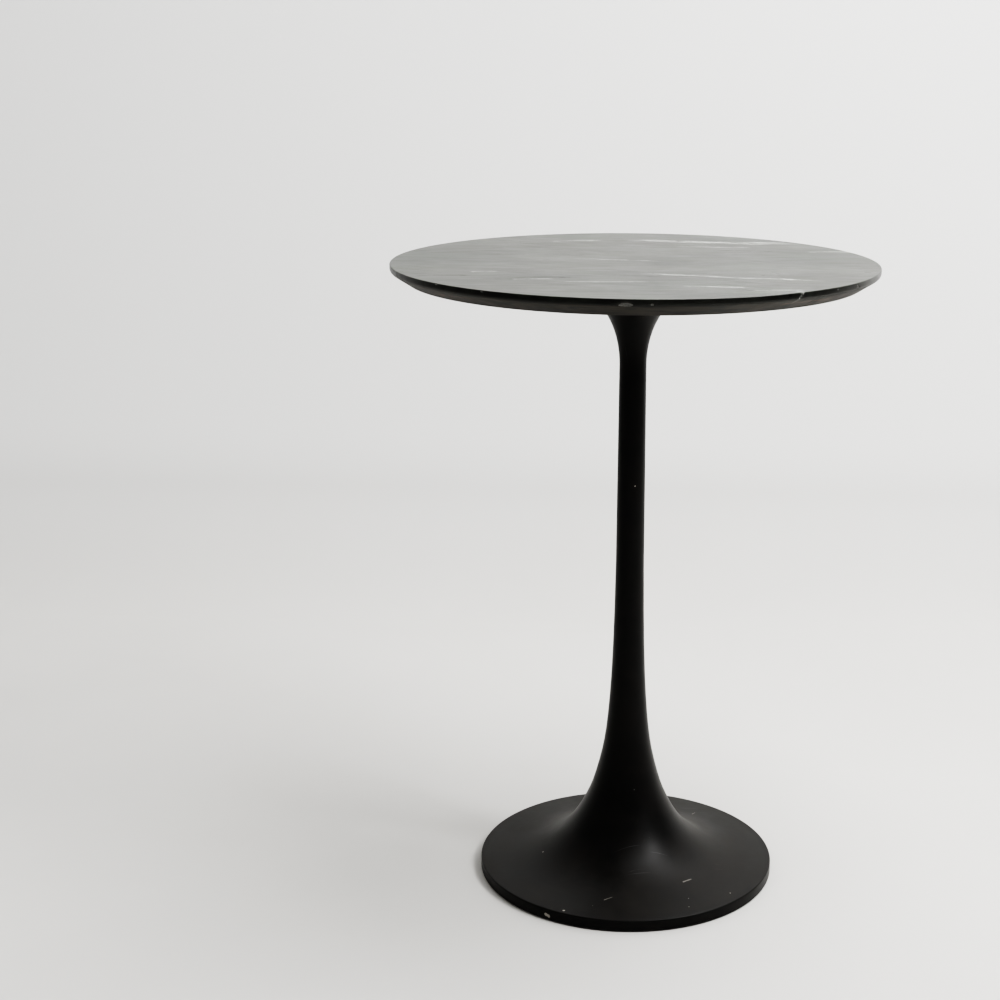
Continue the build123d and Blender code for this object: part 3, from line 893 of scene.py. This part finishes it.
flange_screw_low, flange_screw_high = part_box("flange_screws")
flange_places = four_places("flange_screws")
flange_hole = drum(M6_RADIUS + THREAD_GAP, casting_high.z - 9 * MM, casting_high.z + 1 * MM, 32)
casting = combine(casting, repeat_at(flange_hole, flange_places), "DIFFERENCE", coat_only, coat_only)
finish_piece(casting, "trumpet_casting", "pedestal", coat_only, sharp=40)

# %% [markdown]
# ## Screws with real threads
#
# A thread is a small ridge swept along a helix. Spin can do that too: give it a `dvec`, and every
# step also climbs a little. The ridge overlaps the screw's core, as a rolled thread grows out of it.
# Spin leaves the ridge's first end open, so that hole is filled.


# %% A thread and a hexagon socket
def add_thread(bm, radius, pitch, low, high, steps=20):
    """Adds a ridge that climbs from low to high round the Z axis."""
    turns = (high - low - pitch) / pitch
    core = radius - 0.61 * pitch
    corners = [(core, 0), (radius, 0.42 * pitch), (radius, 0.5 * pitch), (core, 0.92 * pitch)]
    verts = [bm.verts.new((r, 0, low + z)) for r, z in corners]
    ridge = bm.faces.new(verts)
    count = max(1, int(steps * turns))
    bmesh.ops.spin(
        bm, geom=[ridge], cent=(0, 0, 0), axis=(0, 0, 1), dvec=(0, 0, pitch * turns / count),
        angle=2 * pi * turns, steps=count,
    )
    open_edges = [edge for edge in bm.edges if edge.is_boundary]
    bmesh.ops.holes_fill(bm, edges=open_edges, sides=4)


def hexagon(flats, low, high):
    """A closed hexagonal prism as a bmesh. Flats is the distance between two opposite sides."""
    return drum(flats / 2 / cos(pi / 6), low, high, 6)


# %% Sizes that the M6 screws share
M6_CORE = 2.42 * MM  # under the thread's ridge
M6_TIP = 1.9 * MM
M6_PITCH = 1 * MM
SOCKET_FLATS = 4 * MM
SOCKET_DEPTH = 1.9 * MM
CHAMFER = 0.6 * MM


# %% [markdown]
# The button heads of the stone screws are turned from a short outline with a domed top, upside down,
# because these screws are driven upwards. The key's socket is a hexagon cut into the dome.

# %% Stone screws
screw_low, screw_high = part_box("stone_screws")
screw_places = four_places("stone_screws")
washer_low, washer_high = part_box("spring_washers")
HEAD_RADIUS = screw_high.x - screw_places[0].x
head_top = washer_low.z
head_height = head_top - screw_low.z
FULL_WIDTH = 0.5 * MM  # the height of the head's upright side
dome = [(0, screw_low.z)]
for steep in (62, 48, 36, 25, 12):
    lift = (head_height - FULL_WIDTH) * sin(radians(steep))
    dome.append((HEAD_RADIUS * cos(radians(steep)) ** 0.8, head_top - FULL_WIDTH - lift))
screw = outline(dome + [
    (HEAD_RADIUS, head_top - FULL_WIDTH), (HEAD_RADIUS - 0.15 * MM, head_top), (2.9 * MM, head_top),
    (M6_CORE, head_top + 1 * MM), (M6_CORE, screw_high.z - CHAMFER), (M6_TIP, screw_high.z),
    (0, screw_high.z),
])
turn(screw, 56)
socket = hexagon(SOCKET_FLATS, screw_low.z - 1 * MM, screw_low.z + SOCKET_DEPTH)
screw = combine(screw, socket, "DIFFERENCE")
add_thread(screw, M6_RADIUS, M6_PITCH, head_top + 1.2 * MM, screw_high.z - 0.2 * MM)
bmesh.ops.recalc_face_normals(screw, faces=screw.faces)
finish_piece(repeat_at(screw, screw_places), "button_screws", "stone_screws", [black_oxide])

# %% [markdown]
# The flange screws sink flush into the plate, so their heads are cones.

# %% Flange screws
sunk_radius = flange_screw_high.x - flange_places[0].x
cone_depth = 3 * MM
screw = outline([
    (0, flange_screw_high.z), (sunk_radius - 0.2 * MM, flange_screw_high.z),
    (sunk_radius, flange_screw_high.z - 0.25 * MM), (2.95 * MM, flange_screw_high.z - cone_depth),
    (M6_CORE, flange_screw_high.z - cone_depth - CHAMFER), (M6_CORE, flange_screw_low.z + CHAMFER),
    (M6_TIP, flange_screw_low.z), (0, flange_screw_low.z),
])
turn(screw, 56)
socket = hexagon(SOCKET_FLATS, flange_screw_high.z - SOCKET_DEPTH, flange_screw_high.z + 1 * MM)
screw = combine(screw, socket, "DIFFERENCE")
thread_end = flange_screw_high.z - cone_depth - 0.4 * MM
add_thread(screw, M6_RADIUS, M6_PITCH, flange_screw_low.z + 0.2 * MM, thread_end)
bmesh.ops.recalc_face_normals(screw, faces=screw.faces)
finish_piece(repeat_at(screw, flange_places), "sunk_screws", "flange_screws", [black_oxide])

# %% [markdown]
# A flat washer is stamped, so one of its edges is rounded and the other keeps a small burr. A spring
# washer is a square wire coiled once and cut: its ends stand a little apart in height, and that is
# what bites. Spin with a small climb makes exactly that.

# %% Washers
flat_low, flat_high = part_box("flat_washers")
flat_radius = flat_high.x - screw_places[0].x
flat_washer = outline([
    (3.2 * MM, flat_high.z - 0.1 * MM), (3.3 * MM, flat_high.z), (flat_radius - 0.1 * MM, flat_high.z),
    (flat_radius, flat_high.z - 0.1 * MM), (flat_radius, flat_low.z + 0.45 * MM),
    (flat_radius - 0.15 * MM, flat_low.z + 0.12 * MM), (flat_radius - 0.45 * MM, flat_low.z),
    (3.4 * MM, flat_low.z), (3.2 * MM, flat_low.z + 0.2 * MM), (3.2 * MM, flat_high.z - 0.1 * MM),
])
turn(flat_washer, 56)
repeat_at(flat_washer, screw_places)
finish_piece(flat_washer, "flat_washer_set", "flat_washers", [zinc])

SPRING_CLIMB = 0.2 * MM
spring_outer = washer_high.x - screw_places[0].x
spring_height = washer_high.z - washer_low.z - SPRING_CLIMB
spring = bmesh.new()
SPRING_INNER = 3.15 * MM
wire = [spring.verts.new((r, 0, washer_low.z + z)) for r, z in (
    (SPRING_INNER, 0), (spring_outer, 0), (spring_outer, spring_height), (SPRING_INNER, spring_height))]
spring_face = spring.faces.new(wire)
spring.faces.new([spring.verts.new(v.co) for v in wire])  # closes the end that Spin leaves open
SPRING_STEPS = 52
bmesh.ops.spin(
    spring, geom=[spring_face], cent=(0, 0, 0), axis=(0, 0, 1), dvec=(0, 0, SPRING_CLIMB / SPRING_STEPS),
    angle=radians(346), steps=SPRING_STEPS,
)
bmesh.ops.remove_doubles(spring, verts=spring.verts, dist=MERGE)
bmesh.ops.recalc_face_normals(spring, faces=spring.faces)
bmesh.ops.rotate(spring, verts=spring.verts, cent=(0, 0, 0), matrix=Matrix.Rotation(radians(20), 3, "Z"))
repeat_at(spring, screw_places)
finish_piece(spring, "spring_washer_set", "spring_washers", [zinc])

# %% [markdown]
# ## The weight in the foot
#
# The ballast is a rough sand casting with a coat of primer. Its section is spun, and then every
# vertex is moved a little along its normal by noise at two sizes, which gives real lumps that also
# show in an outline, not only in shading.

# %% Ballast weight
ballast = half_section("ballast_weight")
for edge in [e for e in ballast.edges if e.calc_length() > 3 * MM]:
    bmesh.ops.subdivide_edges(ballast, edges=[edge], cuts=int(edge.calc_length() / (2.2 * MM)))
turn(ballast, 180)
ballast.normal_update()
ballast_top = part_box("ballast_weight")[1].z
for vert in ballast.verts:
    if hypot(vert.co.x, vert.co.y) > 15 * MM and vert.co.z < ballast_top - 1 * MM:
        lump = 0.6 * noise.noise(vert.co * 120) + 0.4 * noise.noise(vert.co * 420)
        vert.co += vert.normal * (lump - 0.6) * 0.35 * MM
finish_piece(ballast, "iron_ballast", "ballast_weight", [cast_iron], sharp=50)

# %% [markdown]
# The bolt's head is forged: a hexagon whose corners are turned away at 30 degrees. Intersecting a
# hexagonal prism with a turned blank gives the curved chamfer lines that every real bolt head has.

# %% Ballast bolt and its washer
bolt_low, bolt_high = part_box("ballast_bolt")
plate_low, plate_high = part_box("ballast_washer")
seat = plate_low.z
corner_radius = bolt_high.x
blank_radius = corner_radius + 0.1 * MM
blank = outline([
    (0, bolt_low.z), (7.6 * MM, bolt_low.z), (blank_radius, bolt_low.z + 0.95 * MM),
    (blank_radius, seat - 0.3 * MM), (corner_radius - 0.4 * MM, seat), (0, seat),
])
turn(blank, 72)
bolt = combine(hexagon(16 * MM, bolt_low.z - 1 * MM, seat + 1 * MM), blank, "INTERSECT")
M10_RADIUS = 5 * MM
M10_CORE = 4.1 * MM
plain_end = seat + 18 * MM
shank = outline([
    (0, seat - 1 * MM), (M10_RADIUS, seat - 1 * MM), (M10_RADIUS, plain_end), (M10_CORE, plain_end + 1 * MM),
    (M10_CORE, bolt_high.z - 1 * MM), (3.4 * MM, bolt_high.z), (0, bolt_high.z),
])
turn(shank, 48)
bolt = combine(bolt, shank, "UNION")
add_thread(bolt, M10_RADIUS, 1.5 * MM, plain_end + 0.5 * MM, bolt_high.z - 0.3 * MM)
bmesh.ops.recalc_face_normals(bolt, faces=bolt.faces)
finish_piece(bolt, "hexagon_bolt", "ballast_bolt", [zinc])

washer = outline([
    (5.3 * MM, plate_high.z), (plate_high.x - 0.1 * MM, plate_high.z),
    (plate_high.x, plate_high.z - 0.1 * MM), (plate_high.x, plate_low.z + 0.5 * MM),
    (plate_high.x - 0.5 * MM, plate_low.z), (5.5 * MM, plate_low.z),
    (5.3 * MM, plate_low.z + 0.2 * MM), (5.3 * MM, plate_high.z),
])
turn(washer, 64)
finish_piece(washer, "ballast_bolt_washer", "ballast_washer", [zinc])

# %% [markdown]
# ## The levellers
#
# Each leveller is a stud with a flat head and a nylon foot moulded round it. The moulding has rings
# on its underside, which grip the floor and leave room for the ejector marks, and shallow flutes
# round its edge, so that fingers can turn it. Stud and foot are separate pieces that ride together
# on one body, and it slides out of its boss as the table is levelled.

# %% One nylon foot and one stud for each leveller
foot_radius = (foot_high.x - foot_low.x) / 2
FLUTES = 30
FLUTE_DEPTH = 0.35 * MM
GROOVE = 0.25 * MM  # between the rings underneath
head_radius = (stud_high.x - stud_low.x) / 2
head_bottom = stud_low.z
head_top = stud_low.z + 1.4 * MM

for number, place in enumerate(leveller_places, start=1):
    foot = outline([
        (0, GROOVE), (3 * MM, GROOVE), (3.3 * MM, 0), (5 * MM, 0), (5.3 * MM, GROOVE), (6.9 * MM, GROOVE),
        (7.2 * MM, 0), (8.6 * MM, 0), (8.9 * MM, GROOVE), (9.6 * MM, GROOVE), (9.9 * MM, 0),
        (foot_radius - 0.8 * MM, 0), (foot_radius - 0.25 * MM, 0.22 * MM), (foot_radius, 0.8 * MM),
        (foot_radius, foot_high.z - 0.5 * MM), (foot_radius - 0.12 * MM, foot_high.z - 0.12 * MM),
        (foot_radius - 0.45 * MM, foot_high.z), (STUD_RADIUS, foot_high.z), (STUD_RADIUS, head_top),
        (head_radius, head_top), (head_radius, head_bottom), (0, head_bottom),
    ])
    turn(foot, FLUTES * 4)
    for ring_vert in [v for v in foot.verts if hypot(v.co.x, v.co.y) > foot_radius - 0.02 * MM]:
        angle = Vector((ring_vert.co.x, ring_vert.co.y)).angle_signed(Vector((1, 0)))
        shrink = 1 - FLUTE_DEPTH / foot_radius * (0.5 + 0.5 * cos(FLUTES * angle))
        ring_vert.co.x *= shrink
        ring_vert.co.y *= shrink
    bmesh.ops.translate(foot, verts=foot.verts, vec=place)
    finish_piece(foot, f"nylon_foot_{number}", f"leveller_foot_{number}", [nylon])

    stud = outline([
        (0, head_bottom), (head_radius - 0.2 * MM, head_bottom), (head_radius, head_bottom + 0.2 * MM),
        (head_radius, head_top - 0.2 * MM), (head_radius - 0.2 * MM, head_top), (3.9 * MM, head_top),
        (3.35 * MM, head_top + 0.9 * MM), (3.35 * MM, stud_high.z - 0.6 * MM), (2.7 * MM, stud_high.z),
        (0, stud_high.z),
    ])
    turn(stud, 56)
    add_thread(stud, STUD_RADIUS, 1.25 * MM, head_top + 0.8 * MM, stud_high.z - 0.15 * MM)
    bmesh.ops.recalc_face_normals(stud, faces=stud.faces)
    bmesh.ops.translate(stud, verts=stud.verts, vec=place)
    finish_piece(stud, f"threaded_stud_{number}", f"leveller_stud_{number}", [zinc])

# %% [markdown]
# ## Pieces that keep their mechanical shape
#
# The mounting plate, the rubber pad and the threaded inserts are already the right shape, so they
# only need a finish. It goes into their objects' material slots, and their meshes aren't touched.


# %% Finish the carried-over parts
for node, finish in (("mounting_plate", zinc), ("stone_pad", rubber), ("stone_inserts", brass)):
    for slot in frame["nodes"][node].material_slots:
        slot.link = "OBJECT"
        slot.material = finish
    print(node, "keeps its shape and gets", finish.name)

# %% [markdown]
# ## Floor, light and camera
#
# Black and dark things are drawn by what they reflect, so the surroundings do most of the work. Here
# they are a photographer's sweep: one pale sheet that is the floor, and curves up behind the table
# into a wall. Seen from behind or from below the sheet is clear, so it hides nothing from the other
# views, and it is also clear under the foot, so that light reaches the hollow from below. That switch
# belongs in the sheet's own material, as a mix driven by Backfacing.

# %% The sweep
WALL_Y = 0.9
COVE = 0.16
HALF_WIDTH = 14.0
WALL_TOP = 2.6
UNDER_RIM = 6 * MM  # how far the sheet reaches in under the foot's rim

sweep = bmesh.new()
near_edge, cove_start = [sweep.verts.new((-HALF_WIDTH, y, 0)) for y in (-HALF_WIDTH, WALL_Y - COVE)]
sweep.edges.new((near_edge, cove_start))
cove = bmesh.ops.spin(
    sweep, geom=[cove_start], cent=(-HALF_WIDTH, WALL_Y - COVE, COVE), axis=(1, 0, 0),
    angle=pi / 2, steps=24,
)
cove_end = cove["geom_last"][0]
wall_top = bmesh.ops.extrude_vert_indiv(sweep, verts=[cove_end])["verts"]
bmesh.ops.translate(sweep, verts=wall_top, vec=(0, 0, WALL_TOP - COVE))
across = bmesh.ops.extrude_edge_only(sweep, edges=sweep.edges)["geom"]
far_verts = [item for item in across if isinstance(item, bmesh.types.BMVert)]
bmesh.ops.translate(sweep, verts=far_verts, vec=(2 * HALF_WIDTH, 0, 0))
bmesh.ops.remove_doubles(sweep, verts=sweep.verts, dist=MERGE)
sweep.normal_update()
if max(sweep.faces, key=lambda face: face.calc_area()).normal.z < 0:
    bmesh.ops.reverse_faces(sweep, faces=sweep.faces)
print("sweep:", len(sweep.faces), "faces, wall", WALL_Y, "m behind the table's axis")

# %% Its finish, clear from behind
sheet_finish, tree, shader, where = new_material("pale_sheet", Roughness=0.9)
shader["Specular IOR Level"].default_value = 0.1
tone = use(tree, cloudy_tone, Vector=where, Scale=3.0, Contrast=0.4,
           Dark=colour(0.63, 0.62, 0.595), Light=colour(0.66, 0.65, 0.625))
rise = ramp(tree, put(tree, "SeparateXYZ", Vector=where).outputs["Z"], 0.0, 0.25)
fill(tree, shader["Base Color"], mix(tree, rise, tone["Color"], colour(0.92, 0.92, 0.91)))
seen_from_behind = put(tree, "NewGeometry").outputs["Backfacing"]
level_place = vector_maths(tree, "MULTIPLY", where, (1, 1, 0)).outputs[0]
from_axis = vector_maths(tree, "LENGTH", level_place).outputs["Value"]
under_foot = maths(tree, "LESS_THAN", from_axis, FOOT_RADIUS - UNDER_RIM)
either = put(tree, "MixShader", Fac=maths(tree, "MAXIMUM", seen_from_behind, under_foot))
surface = next(node for node in tree.nodes if node.type == "OUTPUT_MATERIAL").inputs["Surface"]
tree.links.new(surface.links[0].from_socket, either.inputs[1])
tree.links.new(put(tree, "BsdfTransparent").outputs[0], either.inputs[2])
tree.links.new(either.outputs[0], surface)

sweep_mesh = bpy.data.meshes.new("sweep")
sweep.to_mesh(sweep_mesh)
sweep.free()
sweep_mesh.shade_smooth()
sweep_mesh.materials.append(sheet_finish)
sweep_object = bpy.data.objects.new("sweep", sweep_mesh)
bpy.context.scene.collection.objects.link(sweep_object)

# %% [markdown]
# Two soft lights and a dim, even world. A large light overhead does most of the lighting and fades
# with distance, which leaves the floor far in front dark: that dark floor, which the slab's front
# edge mirrors, and the shade painted into the edge's colour make the edge look black. A smaller one
# high on the right gives the foot its highlight and the floor a faint shadow. The world only fills in.


# %% Lights
def soft_light(name, place, aim_at, size, power):
    """A square area light that faces a point."""
    light = bpy.data.lights.new(name, "AREA")
    light.shape = "SQUARE"
    light.size = size
    light.energy = power
    made = bpy.data.objects.new(name, light)
    made.location = place
    made.rotation_euler = (Vector(aim_at) - Vector(place)).to_track_quat("-Z", "Y").to_euler()
    bpy.context.scene.collection.objects.link(made)
    print("light:", name, size, "m wide,", power, "W")


soft_light("overhead", (0.75, 0.05, 2.5), (0.55, 0.4, 0), 1.6, 62)
soft_light("highlight", (1.55, -0.78, 2.1), (0, 0, 0.05), 0.62, 28)

world = bpy.data.worlds.new("soft dome")
bpy.context.scene.world = world
world.use_nodes = True
tree = world.node_tree
tree.nodes.clear()
background = put(tree, "Background", Color=colour(1.0, 1.0, 1.0), Strength=0.4)
tree.links.new(background.outputs[0], put(tree, "OutputWorld").inputs["Surface"])

# %% [markdown]
# The camera stands a little above the table top and looks down at it, with a longish lens, as
# someone would photograph furniture across a room. Its picture is framed off centre by a small
# sideways shift, which keeps the upright stem upright.

# %% Camera
CAMERA_DISTANCE = 1.701
CAMERA_HEIGHT = 0.8415
camera_data = bpy.data.cameras.new("camera")
camera_data.sensor_width = 36.0
camera_data.lens = 65.4
camera_data.shift_x = -0.069
camera_data.clip_start = 0.05
camera_data.clip_end = 100.0
camera = bpy.data.objects.new("camera", camera_data)
camera.location = (0, -CAMERA_DISTANCE, CAMERA_HEIGHT)
LOOK_DOWN = radians(15.07)
TURN_LEFT = radians(2.02)
ROLL = radians(0.36)
aim = Matrix.Rotation(TURN_LEFT, 3, "Z") @ Matrix.Rotation(pi / 2 - LOOK_DOWN, 3, "X")
camera.rotation_euler = (aim @ Matrix.Rotation(ROLL, 3, "Z")).to_euler()
bpy.context.scene.collection.objects.link(camera)
bpy.context.scene.camera = camera
bpy.context.scene.view_settings.look = "AgX - Very High Contrast"
